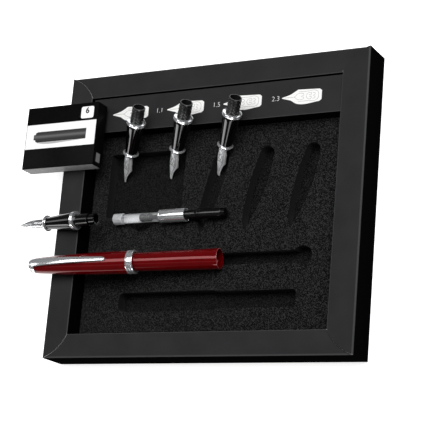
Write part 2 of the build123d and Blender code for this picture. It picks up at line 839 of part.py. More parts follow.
def piston_seal():
    """Seal with two lips that run in the clear tube."""
    bore = tube_radius - tube_wall - seal_fit
    waist = bore - seal_waist
    end = piston_start + piston_length
    profile = [(piston_start, bore - seal_lip), (piston_start + 0.6, bore), (piston_start + 2.0, bore),
               (piston_start + 2.6, waist), (end - 2.6, waist), (end - 2.0, bore), (end - 0.6, bore),
               (end, bore - seal_lip)]
    return turned(profile)


def knob():
    edge = 0.4
    end = knob_start + knob_length
    profile = [(knob_start, knob_radius - edge), (knob_start + edge, knob_radius),
               (end - edge, knob_radius), (end, knob_radius - edge)]
    return turned(profile)


def knob_nub():
    """Ribbed end piece of the knob."""
    start = knob_start + knob_length
    body = rod(start, nub_length, nub_radius)
    for index in range(nub_rib_count):
        groove = Pos(start + nub_length / 2, 0, nub_radius)
        groove = groove * Box(2 * nub_length, nub_groove_width, 2 * nub_groove_depth)
        body = body - Rot(360 * index / nub_rib_count, 0, 0) * groove
    return body


def converter_plane():
    """The converter lies on the foam on its mouth and its sleeve."""
    fall = sleeve_radius - converter_mouth_radius
    rise = math.degrees(math.atan2(fall, sleeve_start - converter_mouth_length / 2))
    start = (-well_x + converter_left, -converter_below, foam_top + rest_gap + converter_mouth_radius)
    return axis_plane(start, 0, -rise)


def converter_parts():
    location = converter_plane().location
    parts = {"converter_mouth": converter_mouth(), "converter_tube": converter_tube(),
             "converter_sleeve": converter_sleeve(), "piston_rod": piston_rod(),
             "piston_seal": piston_seal(), "piston_knob": knob(), "knob_nub": knob_nub()}
    return {name: location * shape for name, shape in parts.items()}


# ---------------------------------------------------------------- all pieces
def build():
    parts = {"nib_card": nib_card()}
    for group in (tray_parts, foam_parts, carton_parts, unit_parts, pen_parts, converter_parts):
        parts.update(group())
    return parts


os.makedirs("parts", exist_ok=True)
for name, shape in build().items():
    export_step(shape, f"parts/{name}.step")
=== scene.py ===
import json
import math

import bpy
from bpy.props import FloatProperty, PointerProperty, StringProperty
from mathutils import Matrix, Vector


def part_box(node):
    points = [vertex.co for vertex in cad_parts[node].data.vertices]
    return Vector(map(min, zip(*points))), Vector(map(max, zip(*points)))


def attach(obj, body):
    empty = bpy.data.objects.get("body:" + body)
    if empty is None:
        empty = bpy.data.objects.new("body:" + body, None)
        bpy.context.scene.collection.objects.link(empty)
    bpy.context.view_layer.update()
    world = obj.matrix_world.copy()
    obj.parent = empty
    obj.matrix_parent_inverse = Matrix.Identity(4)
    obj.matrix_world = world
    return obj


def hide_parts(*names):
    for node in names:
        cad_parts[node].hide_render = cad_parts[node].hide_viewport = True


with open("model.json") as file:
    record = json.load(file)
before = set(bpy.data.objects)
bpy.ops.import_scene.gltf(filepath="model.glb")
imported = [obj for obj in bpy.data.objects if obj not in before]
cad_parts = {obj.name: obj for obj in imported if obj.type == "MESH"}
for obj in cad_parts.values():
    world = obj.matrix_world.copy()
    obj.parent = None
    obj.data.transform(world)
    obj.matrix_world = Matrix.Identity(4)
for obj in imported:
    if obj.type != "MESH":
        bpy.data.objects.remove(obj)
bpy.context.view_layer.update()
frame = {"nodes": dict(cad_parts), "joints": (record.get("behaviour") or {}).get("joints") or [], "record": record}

bl_info = {
    "name": "Calligraphy Set Box",
    "version": (1, 0, 0),
    "blender": (4, 5, 0),
    "location": "View3D > Sidebar > Calligraphy Set",
    "description": "Dresses a calligraphy set: tray, foam, nib card, carton, nib units and pen",
    "category": "Object",
}

JOINTS = {joint["name"]: joint for joint in frame["joints"]}
MOUNTS = {mount["name"]: mount for mount in frame["record"]["mounts"]}
UNITS = ("italic_1_1", "italic_1_5", "italic_2_3", "round")
MM = 0.001
SAME_POINT = 0.001 * MM  # corners nearer than this are merged
WHITE = (1.0, 1.0, 1.0, 1.0)
# A Mix node names its number and colour sockets alike, so they are told apart by index.
MIX_FACTOR, MIX_FIRST, MIX_SECOND, MIX_RESULT = 0, 6, 7, 2


# ---------- settings
def size(name, default, description):
    """A length that a user can change, written in millimetres and held in metres."""
    return FloatProperty(name=name, default=default * MM, description=description,
                         unit="LENGTH", subtype="DISTANCE", precision=5)


def colour(name, default, description):
    """A surface colour, written as an sRGB hex value."""
    return StringProperty(name=name, default=default, description=description)


class TraySettings(bpy.types.PropertyGroup):
    """Folded board tray, foam insert and nib card."""
    rim_colour: colour("Rim film", "#2e2e2f", "Matt laminate on the rim and the nib card")
    # The walls' black is partly their black print and partly painted shade on faces that look sideways.
    wall_print_and_shade_colour: colour("Wall film", "#080808", "The same laminate printed black, on the walls")
    # Painted highlight: the rounded folds get this paler colour for the light they catch.
    fold_highlight_colour: colour("Folded edge", "#484849", "Laminate rubbed pale along the folds")
    core_colour: colour("Board core", "#b9b7b2", "Raw grey core where the board is cut")
    foam_colour: colour("Foam flock", "#141414", "Short black flock on the foam insert")
    # Darker than the foam flock as painted shade: the liner shows only as the floors of the recesses.
    liner_flock_and_shade_colour: colour("Liner flock", "#0c0c0c", "The same flock on the paper under the foam")
    print_colour: colour("White ink", "#f2f2f0", "Screen-printed white on the nib card")
    ornament_colour: colour("Grey ink", "#9d9d9b", "Fine lines inside the printed nibs")
    foam_edge: size("Foam edge", 0.6, "Rounding of the cut edges of the foam")
    board_edge: size("Board edge", 0.15, "Rounding of folded board edges")


class PenSettings(bpy.types.PropertyGroup):
    """Pen, nib units and converter."""
    lacquer_colour: colour("Red lacquer", "#600003", "Deep red gloss on the barrel and the cap")
    black_colour: colour("Black gloss", "#060606", "Polished black on grips and converter")
    chrome_colour: colour("Bright plating", "#e8e9ec", "Chrome on rings, clip and sleeve")
    steel_colour: colour("Nib steel", "#eeeff1", "Stainless steel of the nibs")


class StageSettings(bpy.types.PropertyGroup):
    """Camera, lamps and floor."""
    floor_colour: colour("Floor", "#f4f4f4", "Plain pale floor")
    lens: FloatProperty(name="Lens", default=128.9,
                        description="Focal length in millimetres on a 36 mm wide sensor")
    light_level: FloatProperty(name="Light level", default=1.0,
                               description="Factor on all the softboxes")


# ---------- materials
def linear(hex_value, factor=1.0):
    """sRGB hex text as a linear colour, made darker or lighter by a factor."""
    channels = [int(hex_value[i:i + 2], 16) / 255 for i in (1, 3, 5)]
    levels = [c / 12.92 if c <= 0.04045 else ((c + 0.055) / 1.055) ** 2.4 for c in channels]
    return (*(level * factor for level in levels), 1.0)


def fineness(spacing):
    """The Scale of a noise whose grains lie this many millimetres apart."""
    return 1 / (spacing * MM)


def add(tree, kind, sockets=None, into=None, stops=(), **settings):
    """Adds a node with its settings and links.

    A socket's value is a constant or the output that feeds it, and into is the socket that
    the node's first output goes to. Stops are a colour ramp's (position, linear colour)."""
    node = tree.nodes.new(kind)
    for key, value in settings.items():
        setattr(node, key, value)
    for key, value in (sockets or {}).items():
        if isinstance(value, bpy.types.NodeSocket):
            tree.links.new(value, node.inputs[key])
        else:
            node.inputs[key].default_value = value
    if into is not None:
        tree.links.new(node.outputs[0], into)
    if stops:
        elements = node.color_ramp.elements
        elements[0].position, elements[0].color = stops[0]
        elements[1].position, elements[1].color = stops[-1]
        for position, value in stops[1:-1]:
            elements.new(position).color = value
    return node


def surface(name, **constants):
    """A new material: its tree, its Principled shader's sockets and Object coordinates."""
    material = bpy.data.materials.new(name)
    material.use_nodes = True
    tree = material.node_tree
    shader = tree.nodes["Principled BSDF"].inputs
    for key, value in constants.items():
        shader[key.replace("_", " ")].default_value = value
    return material, tree, shader, add(tree, "ShaderNodeTexCoord").outputs["Object"]


def uneven(tree, shader, point, spacing, detail, dark, light):
    """Clouds a surface between two linear colours, and returns the clouds' height."""
    cloud = add(tree, "ShaderNodeTexNoise",
                {"Vector": point, "Scale": fineness(spacing), "Detail": detail}).outputs["Fac"]
    add(tree, "ShaderNodeValToRGB", {"Fac": cloud}, into=shader["Base Color"],
        stops=((0.3, dark), (0.7, light)))
    return cloud


def upward(tree, steep, flat):
    """0 where the normal's height is below steep, 1 where it is above flat."""
    normal = add(tree, "ShaderNodeNewGeometry").outputs["Normal"]
    height = add(tree, "ShaderNodeSeparateXYZ", {"Vector": normal}).outputs["Z"]
    return add(tree, "ShaderNodeMapRange",
               {"Value": height, "From Min": steep, "From Max": flat}).outputs["Result"]


def laminated_board(name, top_hex, wall_print_and_shade_hex, fold_highlight_hex):
    """Matt film over greyboard with mottled tops; its rounded folds are painted pale as a painted highlight, and
    its walls are black, partly their black print and partly painted shade.
    """
    material, tree, shader, point = surface(name, Roughness=0.55, Specular_IOR_Level=0.0)
    mottle = add(tree, "ShaderNodeTexNoise",
                 {"Vector": point, "Scale": fineness(18.18), "Detail": 5.0}).outputs["Fac"]
    top = add(tree, "ShaderNodeValToRGB", {"Fac": mottle},
              stops=((0.3, linear(top_hex, 0.9)), (0.7, linear(top_hex, 1.1))))
    # Faces that look sideways take the wall colour, whose blackness is partly black print and partly painted
    # shade; the rounded folds between walls and tops take a paler colour as a painted highlight.
    side = add(tree, "ShaderNodeMix",
               {MIX_FACTOR: upward(tree, 0.3, 0.5), MIX_FIRST: linear(wall_print_and_shade_hex),
                MIX_SECOND: linear(fold_highlight_hex)}, data_type="RGBA")
    film = add(tree, "ShaderNodeMix",
               {MIX_FACTOR: upward(tree, 0.8, 0.95), MIX_FIRST: side.outputs[MIX_RESULT],
                MIX_SECOND: top.outputs["Color"]}, data_type="RGBA")
    tree.links.new(film.outputs[MIX_RESULT], shader["Base Color"])
    # The film's grain is about 0.1 mm; drawn at 0.56 mm so that it shows.
    grain = add(tree, "ShaderNodeTexNoise",
                {"Vector": point, "Scale": fineness(0.5556), "Detail": 2.0}).outputs["Fac"]
    add(tree, "ShaderNodeMapRange", {"Value": grain, "To Min": 0.48, "To Max": 0.62},
        into=shader["Roughness"])
    add(tree, "ShaderNodeBump", {"Height": grain, "Distance": 0.02 * MM, "Strength": 0.4},
        into=shader["Normal"])
    return material


def flocked(name, hex_value):
    """Short black flock on foam or on paper: its pile catches the light as fine grey specks. Faces that look
    sideways, such as the walls of cut-outs, are painted nearly black as painted shade.
    """
    material, tree, shader, point = surface(name, Roughness=0.95, Specular_IOR_Level=0.05,
                                            Sheen_Weight=0.05, Sheen_Roughness=0.6)
    # The pile is about 0.4 mm across; drawn at 0.6 mm so that it still shows in a small view.
    pile = add(tree, "ShaderNodeTexNoise",
               {"Vector": point, "Scale": fineness(0.606), "Detail": 1.0}).outputs["Fac"]
    specks = add(tree, "ShaderNodeValToRGB", {"Fac": pile},
                 stops=((0.42, linear(hex_value, 0.1)), (0.5, linear(hex_value, 0.65)),
                        (0.6, linear(hex_value, 3.9))))
    cloud = add(tree, "ShaderNodeTexNoise",
                {"Vector": point, "Scale": fineness(25.0), "Detail": 2.0}).outputs["Fac"]
    patch = add(tree, "ShaderNodeValToRGB", {"Fac": cloud},
                stops=((0.3, (0.93, 0.93, 0.93, 1.0)), (0.7, WHITE)))
    worn = add(tree, "ShaderNodeMix",
               {MIX_FACTOR: 1.0, MIX_FIRST: specks.outputs["Color"],
                MIX_SECOND: patch.outputs["Color"]}, data_type="RGBA", blend_type="MULTIPLY")
    # Painted shade: faces that look sideways, such as the walls of the recesses, get the flock colour at 0.12 of
    # its brightness.
    flock = add(tree, "ShaderNodeMix",
                {MIX_FACTOR: upward(tree, 0.55, 0.97), MIX_FIRST: linear(hex_value, 0.12),
                 MIX_SECOND: worn.outputs[MIX_RESULT]}, data_type="RGBA")
    tree.links.new(flock.outputs[MIX_RESULT], shader["Base Color"])
    add(tree, "ShaderNodeBump", {"Height": pile, "Distance": 0.2 * MM, "Strength": 0.5},
        into=shader["Normal"])
    return material


def printed_ink(name, hex_value):
    """Screen or offset ink: a flat, slightly uneven film."""
    material, tree, shader, point = surface(name, Roughness=0.5, Specular_IOR_Level=0.3)
    uneven(tree, shader, point, 1.111, 2.0, linear(hex_value, 0.93), linear(hex_value))
    return material


def cartridge_picture(name, middle, half):
    """Halftone picture of a cartridge: dark rims with a lighter streak along the middle."""
    material, tree, shader, point = surface(name, Roughness=0.45)
    along = add(tree, "ShaderNodeSeparateXYZ", {"Vector": point}).outputs["Y"]
    across = add(tree, "ShaderNodeMapRange",
                 {"Value": along, "From Min": middle - half, "From Max": middle + half})
    tones = ((0.0, "#0e0e0e"), (0.3, "#202020"), (0.55, "#606060"), (0.72, "#2c2c2c"),
             (1.0, "#0c0c0c"))
    add(tree, "ShaderNodeValToRGB", {"Fac": across.outputs["Result"]},
        into=shader["Base Color"], stops=[(where, linear(tone)) for where, tone in tones])
    return material


def coated_carton(name, hex_value):
    """Folding boxboard with a gloss varnish: smooth with a slight orange peel."""
    material, tree, shader, point = surface(name, Roughness=0.32, Specular_IOR_Level=0.03)
    peel = uneven(tree, shader, point, 2.857, 3.0, linear(hex_value, 0.85),
                  linear(hex_value, 1.15))
    add(tree, "ShaderNodeBump", {"Height": peel, "Distance": 0.01 * MM, "Strength": 0.3},
        into=shader["Normal"])
    return material


def lacquer(name, hex_value, tint_hex, coat):
    """Polished lacquer: clear gloss coat over a colour that has a little depth."""
    material, tree, shader, point = surface(name, Roughness=0.08, Coat_Roughness=0.03,
                                            Coat_Weight=coat, Specular_Tint=linear(tint_hex))
    uneven(tree, shader, point, 6.25, 3.0, linear(hex_value, 0.82), linear(hex_value))
    return material


def plated_metal(name, hex_value, roughness):
    """Bright plating on turned brass: mirror-like, with faint polishing haze."""
    material, tree, shader, point = surface(name, Metallic=0.8, Roughness=roughness,
                                            Base_Color=linear(hex_value))
    haze = add(tree, "ShaderNodeTexNoise",
               {"Vector": point, "Scale": fineness(1.4286), "Detail": 4.0}).outputs["Fac"]
    add(tree, "ShaderNodeMapRange",
        {"Value": haze, "To Min": roughness * 0.6, "To Max": roughness * 1.4},
        into=shader["Roughness"])
    return material


def nib_steel(name, hex_value, polish):
    """Stainless steel, brushed or polished: bright, with a fine grain that softens gloss."""
    material, tree, shader, point = surface(name, Metallic=polish, Roughness=0.3,
                                            Base_Color=linear(hex_value))
    # The polishing grain is under 0.1 mm; drawn at 0.67 mm so that it shows.
    grain = add(tree, "ShaderNodeTexNoise",
                {"Vector": point, "Scale": fineness(0.6667), "Detail": 3.0}).outputs["Fac"]
    add(tree, "ShaderNodeMapRange", {"Value": grain, "To Min": 0.22, "To Max": 0.36},
        into=shader["Roughness"])
    add(tree, "ShaderNodeBump", {"Height": grain, "Distance": 0.004 * MM, "Strength": 0.3},
        into=shader["Normal"])
    return material


def solid_coloured(name, hex_value, roughness):
    """Stuff of one colour all through, such as ABS, rubber or raw board, with a fine skin."""
    material, tree, shader, point = surface(name, Roughness=roughness)
    # A moulded skin's texture is about 0.2 mm; drawn at 0.83 mm so that it shows.
    skin = uneven(tree, shader, point, 0.8333, 2.0, linear(hex_value, 0.85),
                  linear(hex_value, 1.1))
    add(tree, "ShaderNodeBump", {"Height": skin, "Distance": 0.01 * MM, "Strength": 0.3},
        into=shader["Normal"])
    return material


def frosted_plastic(name, hex_value, clearness):
    """Moulded polystyrene: clear, with a milky haze where light crosses its walls."""
    material, tree, shader, point = surface(name, Roughness=0.08, IOR=1.59,
                                            Transmission_Weight=clearness)
    uneven(tree, shader, point, 2.0, 2.0, linear(hex_value, 0.95), linear(hex_value))
    return material


def thin_clear_tube(name, hex_value, axis_height):
    """Clear polystyrene tube: nearly clear above its axis, so that the seal shows through; its lower half is made
    milky white as a painted highlight for the light that gathers there.
    """
    material, tree, shader, point = surface(name, Roughness=0.06, IOR=1.59,
                                            Base_Color=linear(hex_value))
    # Painted highlight: the lower half is nearly opaque white and the top nearly clear, changing with height
    # across the axis.
    milky, clear = 0.7, 0.07
    height = add(tree, "ShaderNodeSeparateXYZ", {"Vector": point}).outputs["Z"]
    add(tree, "ShaderNodeMapRange",
        {"Value": height, "From Min": axis_height - 1.5 * MM, "From Max": axis_height + 0.5 * MM,
         "To Min": milky, "To Max": clear}, into=shader["Alpha"])
    return material


# ---------- modelling by hand
def leave_edit():
    if bpy.context.object and bpy.context.object.mode == "EDIT":
        bpy.ops.object.mode_set(mode="OBJECT")


def deselect():
    """Leaves edit mode and selects nothing."""
    leave_edit()
    bpy.context.tool_settings.mesh_select_mode = (True, False, False)
    bpy.ops.object.select_all(action="DESELECT")


def pick(obj):
    """Selects one object and makes it active."""
    deselect()
    obj.select_set(True)
    bpy.context.view_layer.objects.active = obj


def edit_all(obj):
    """Goes into edit mode with all of a mesh selected."""
    pick(obj)
    bpy.ops.object.mode_set(mode="EDIT")
    bpy.ops.mesh.select_all(action="SELECT")


def pick_faces(obj, wanted):
    """Goes into edit mode with the faces selected that pass a test."""
    pick(obj)
    bpy.context.tool_settings.mesh_select_mode = (False, False, True)
    for face in obj.data.polygons:
        face.select = wanted(face)
    bpy.ops.object.mode_set(mode="EDIT")


def settle(obj, name, material, body, slot, *nodes, smooth=30.0):
    """Names a finished piece, puts its place in its mesh, smooths it and joins it to its body.

    The nodes are the CAD solids that it stands for."""
    pick(obj)
    obj.name = name
    obj.data.name = name
    bpy.ops.object.transform_apply(location=True, rotation=True, scale=True)
    bpy.ops.object.shade_smooth_by_angle(angle=math.radians(smooth))
    obj.data.materials.clear()
    obj.data.materials.append(material)
    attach(obj, body)
    if nodes:
        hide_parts(*nodes)
    deselect()


def recalculated(obj):
    """Merges a mesh's doubled corners and turns its faces outwards."""
    edit_all(obj)
    bpy.ops.mesh.remove_doubles(threshold=SAME_POINT)
    bpy.ops.mesh.normals_make_consistent(inside=False)
    leave_edit()
    return obj


def ring(spot, radius, segments, scale=(1.0, 1.0, 1.0)):
    """A circle of corners that stands across X, in edit mode and ready to be extruded."""
    deselect()
    bpy.ops.mesh.primitive_circle_add(vertices=segments, radius=radius, location=spot,
                                      rotation=(0, math.pi / 2, 0), fill_type="NOTHING")
    obj = bpy.context.object
    obj.scale = scale
    bpy.ops.object.transform_apply(location=True, rotation=True, scale=True)
    edit_all(obj)
    return obj


def turned(profile, segments=64, closed=False):
    """A lathe-turned piece along X from (along, radius) points in millimetres.

    A ring is extruded from point to point. An open profile gets flat ends; a closed one,
    such as a pipe's, comes back to its first point."""
    points = [(along * MM, radius * MM) for along, radius in profile]
    start, radius = points[0]
    obj = ring((start, 0, 0), radius, segments)
    if closed:
        extrude = bpy.ops.mesh.extrude_edges_move
        points.append(points[0])
    else:
        extrude = bpy.ops.mesh.extrude_region_move
        bpy.ops.mesh.edge_face_add()
    for along, next_radius in points[1:]:
        extrude(TRANSFORM_OT_translate={"value": (along - start, 0, 0)})
        factor = next_radius / radius
        bpy.ops.transform.resize(value=(1, factor, factor), center_override=(along, 0, 0))
        start, radius = along, next_radius
    return recalculated(obj)


def lofted(stations, segments):
    """A bar along X from (along, height, half width, half thickness) in millimetres."""
    rows = [[value * MM for value in station] for station in stations]
    along, height, wide, thick = rows[0]
    obj = ring((along, 0, height), 1.0, segments, scale=(thick, wide, 1.0))
    bpy.ops.mesh.edge_face_add()
    for next_along, next_height, next_wide, next_thick in rows[1:]:
        step = (next_along - along, 0, next_height - height)
        bpy.ops.mesh.extrude_region_move(TRANSFORM_OT_translate={"value": step})
        bpy.ops.transform.resize(value=(1, next_wide / wide, next_thick / thick),
                                 center_override=(next_along, 0, next_height))
        along, height, wide, thick = next_along, next_height, next_wide, next_thick
    return recalculated(obj)


def knurled(start, end, radius, depth, pitch):
    """A bar along X whose side is covered with small diamond points; sizes in millimetres.

    Its squares are poked flat and their quarters joined across the old edges into diamonds,
    which are poked again with their middles raised."""
    segments = round(2 * math.pi * radius / pitch)
    rings = round((end - start) / pitch)
    step = (end - start) / rings
    obj = turned([(start + index * step, radius - depth) for index in range(rings + 1)], segments)
    pick_faces(obj, lambda face: len(face.vertices) == 4)
    bpy.ops.mesh.poke(offset=0.0)
    bpy.ops.mesh.tris_convert_to_quads(face_threshold=math.pi, shape_threshold=math.pi)
    pick_faces(obj, lambda face: len(face.vertices) == 4)
    bpy.ops.mesh.poke(offset=depth * MM)
    leave_edit()
    return obj


def bored(neck, end_radius):
    """Bores the pen's socket into a neck's flat end at X = 0; end_radius in millimetres."""
    bore, depth, near = 4.05, 10.5, 0.01 * MM
    pick_faces(neck, lambda face: len(face.vertices) > 4 and abs(face.center.x) < near)
    bpy.ops.mesh.inset(thickness=(end_radius - bore) * MM)
    bpy.ops.mesh.extrude_region_move(TRANSFORM_OT_translate={"value": (depth * MM, 0, 0)})
    leave_edit()
    return neck


def traced(points, kinds):
    """Leads the active curve through points with these kinds of handle; makes it a mesh."""
    spline = bpy.context.object.data.splines[0].bezier_points
    spline.add(len(points) - len(spline))
    for point, spot, kind in zip(spline, points, kinds):
        point.co = spot
        point.handle_left_type = kind
        point.handle_right_type = kind
    bpy.ops.object.convert(target="MESH")
    return bpy.context.object


def flat_print(outline, film, rounded=()):
    """A printed film in the XY plane; rounded lists the outline's smooth points."""
    deselect()
    bpy.ops.curve.primitive_bezier_circle_add(radius=1.0)
    curve = bpy.context.object.data
    curve.dimensions = "2D"
    curve.fill_mode = "BOTH"
    curve.extrude = film / 2
    kinds = ["AUTO" if index in rounded else "VECTOR" for index in range(len(outline))]
    return traced([(x, y, 0) for x, y in outline], kinds)


def stroke(points, width):
    """A thin raised line along smooth points: a printed or engraved stroke."""
    deselect()
    bpy.ops.curve.primitive_bezier_curve_add(radius=1.0)
    curve = bpy.context.object.data
    curve.dimensions = "3D"
    curve.bevel_depth = width / 2
    curve.bevel_resolution = 1
    curve.resolution_u = 6
    return traced(points, ["AUTO"] * len(points))


def printed_number(words, spot, film, height, bolder):
    """A plain number as a printed film; bolder widens its strokes, or thins them below 0."""
    deselect()
    bpy.ops.object.text_add(location=spot)
    text = bpy.context.object.data
    text.body = words
    text.size = height
    text.offset = bolder
    text.extrude = film / 2
    bpy.ops.object.convert(target="MESH")
    return bpy.context.object


def joined(objects):
    """Joins several meshes into the first of them."""
    pick(objects[0])
    for obj in objects:
        obj.select_set(True)
    bpy.ops.object.join()
    return bpy.context.object


def softened(node, width, segments=2):
    """A copy of a CAD node's shape with its sharp edges rounded."""
    obj = frame["nodes"][node].copy()
    obj.data = obj.data.copy()
    obj.parent = None
    obj.matrix_world = Matrix.Identity(4)
    for key in list(obj.keys()):
        del obj[key]
    bpy.context.collection.objects.link(obj)
    edit_all(obj)
    bpy.ops.mesh.remove_doubles(threshold=SAME_POINT)
    bpy.ops.mesh.dissolve_limited(angle_limit=math.radians(0.5))
    leave_edit()
    bevel = obj.modifiers.new("Rounded edges", "BEVEL")
    bevel.width = width
    bevel.segments = segments
    bevel.limit_method = "ANGLE"
    bevel.angle_limit = math.radians(30.0)
    bpy.ops.object.modifier_apply(modifier=bevel.name)
    edit_all(obj)
    bpy.ops.mesh.quads_convert_to_tris()
    leave_edit()
    return obj


def dress(material, *nodes):
    """Gives CAD nodes that keep their shape a new material."""
    for name in nodes:
        obj = frame["nodes"][name]
        obj.data.materials.clear()
        obj.data.materials.append(material)


def centre(node):
    """The middle of a CAD node's box."""
    low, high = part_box(node)
    return (low + high) / 2


def axis_matrix(origin, direction, roll=0.0):
    """Frame with X along direction and Z upward, rolled about X."""
    along = direction.normalized()
    side = Vector((0, 0, 1)).cross(along).normalized()
    basis = Matrix((along, side, along.cross(side))).transposed().to_4x4()
    return Matrix.Translation(origin) @ basis @ Matrix.Rotation(roll, 4, "X")


def place(obj, matrix):
    """Moves a piece made along X to where it lies."""
    obj.matrix_world = matrix @ obj.matrix_world
    return obj


# ---------- tray
class CALLIG_OT_tray(bpy.types.Operator):
    """Folded board tray, its cut edges, the foam insert and the nib card"""
    bl_idname = "callig.tray"
    bl_label = "Tray, foam and card"

    def execute(self, context):
        tray = context.scene.callig_tray
        # The board's walls carry painted shade and its rounded folds a painted highlight.
        board = laminated_board("laminated_greyboard", tray.rim_colour, tray.wall_print_and_shade_colour,
                                tray.fold_highlight_colour)
        core = solid_coloured("raw_greyboard_core", tray.core_colour, 0.85)
        for side in ("side_frame_left", "side_frame_right", "end_frame_top", "end_frame_bottom"):
            settle(softened(side, tray.board_edge), side + "_board", board, "tray", "rim_board",
                   side)
        flock = flocked("flocked_foam", tray.foam_colour)
        settle(softened("foam_insert", tray.foam_edge, segments=3), "flocked_foam_insert", flock,
               "tray", "foam", "foam_insert", smooth=50.0)
        settle(softened("nib_card", tray.board_edge), "folded_nib_card", board, "tray",
               "card_board", "nib_card")
        dress(board, "tray_base")
        # The liner's darker flock is painted shade on the recess floors.
        dress(flocked("flocked_liner_paper", tray.liner_flock_and_shade_colour), "foam_liner")
        for side_x in (-1, 1):
            for side_y in (-1, 1):
                self.cut_edge(side_x, side_y, core)
        return {"FINISHED"}

    def cut_edge(self, side_x, side_y, material):
        """The raw cut edge of a rim tongue: a narrow band along its bowed end."""
        bow, band, narrow = 2.6 * MM, 0.55 * MM, 0.12
        low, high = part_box("side_frame_right")
        well_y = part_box("end_frame_top")[0].y
        start = Vector((side_x * low.x, side_y * well_y, high.z))
        end = Vector((side_x * high.x, side_y * high.y, high.z))
        chord = end - start
        radius = chord.length ** 2 / (8 * bow) + bow / 2
        outward = Vector((-chord.y, chord.x, 0)).normalized() * (side_x * side_y)
        hub = (start + end) / 2 + outward * (bow - radius)
        angle = 2 * math.asin(chord.length / (2 * radius))
        turn = (end - hub).cross(start - hub).z
        heading = math.atan2(start.y - hub.y, start.x - hub.x)
        deselect()
        bpy.ops.mesh.primitive_plane_add(size=band, location=start - Vector((0, 0, band * 0.8)),
                                         rotation=(math.pi / 2, 0, heading))
        obj = bpy.context.object
        bpy.ops.object.transform_apply(location=True, rotation=True, scale=True)
        edit_all(obj)
        bpy.ops.transform.resize(value=(narrow, narrow, 1), center_override=start)
        bpy.ops.mesh.spin(steps=28, angle=math.copysign(angle, turn), center=hub, axis=(0, 0, 1))
        label = {-1: "left", 1: "right"}[side_x] + {-1: "_bottom", 1: "_top"}[side_y]
        settle(recalculated(obj), "cut_edge_" + label, material, "tray", "rim_board")


class CALLIG_OT_card_prints(bpy.types.Operator):
    """Printed nib pictures and their plain width numbers on the nib card"""
    bl_idname = "callig.card_prints"
    bl_label = "Card prints"

    def execute(self, context):
        tray = context.scene.callig_tray
        white = printed_ink("white_screen_ink", tray.print_colour)
        grey = printed_ink("grey_screen_ink", tray.ornament_colour)
        film, line, flattened = 0.05 * MM, 0.22 * MM, 0.2
        pitch, first_number, number_pitch = 43.9 * MM, 34.9 * MM, 44.6 * MM
        first_tip = Vector((-79.4 * MM, 71.8 * MM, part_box("nib_card")[1].z + film))
        for index in range(4):
            tip = first_tip + Vector((index * pitch, 0, 0))
            nib = flat_print(self.nib_outline(), film, rounded=(1, 7))
            nib.location = tip
            settle(nib, f"printed_nib_{index + 1}", white, "tray", "card_board")
            ornament = joined([stroke([Vector((x, y, 0)) * MM for x, y in points], line)
                               for points in self.ornament()])
            ornament.location = tip + Vector((0, 0, film * 0.7))
            ornament.scale = (1, 1, flattened)
            settle(ornament, f"printed_nib_ornament_{index + 1}", grey, "tray", "card_board")
        for index, words in enumerate(("1.1", "1.5", "2.3")):
            spot = first_tip + Vector((first_number + index * number_pitch, -1.5 * MM, 0))
            number = printed_number(words, spot, film, height=4.9 * MM, bolder=-0.1 * MM)
            settle(number, f"printed_width_{index + 1}", white, "tray", "card_board")
        return {"FINISHED"}

    def nib_outline(self):
        """A nib seen from above, tip to the left: points in metres from the tip."""
        length, shoulder, half, end_half = 28.8, 11.6, 5.0, 4.3
        upper = [(0.0, 0.25), (0.55 * shoulder, 0.42 * half), (shoulder, half),
                 (length - 1.6, end_half), (length, end_half - 1.2)]
        lower = [(x, -y) for x, y in reversed(upper)]
        return [(x * MM, y * MM) for x, y in upper + lower]

    def ornament(self):
        """Plain scrolls, a slit and a border inside the printed nib, in millimetres."""
        border = [(12.0, 3.4), (18.0, 3.3), (25.5, 2.9), (26.6, 0.0), (25.5, -2.9), (18.0, -3.3),
                  (12.0, -3.4)]
        leaf = [(9.0, 0.0), (12.5, 2.2), (16.0, 0.9), (14.2, 0.0), (16.0, -0.9), (12.5, -2.2),
                (9.0, 0.0)]
        scroll = [(17.5, 0.0), (19.0, 2.0), (21.4, 1.7), (20.9, 0.5), (19.6, 0.9)]
        below = [(x, -y) for x, y in scroll]
        slit = [(2.0, 0.0), (5.5, 0.0), (9.0, 0.0)]
        rear = [(22.3, 2.2), (24.2, 1.1), (22.9, 0.0), (24.2, -1.1), (22.3, -2.2)]
        return [border, leaf, scroll, below, slit, rear]


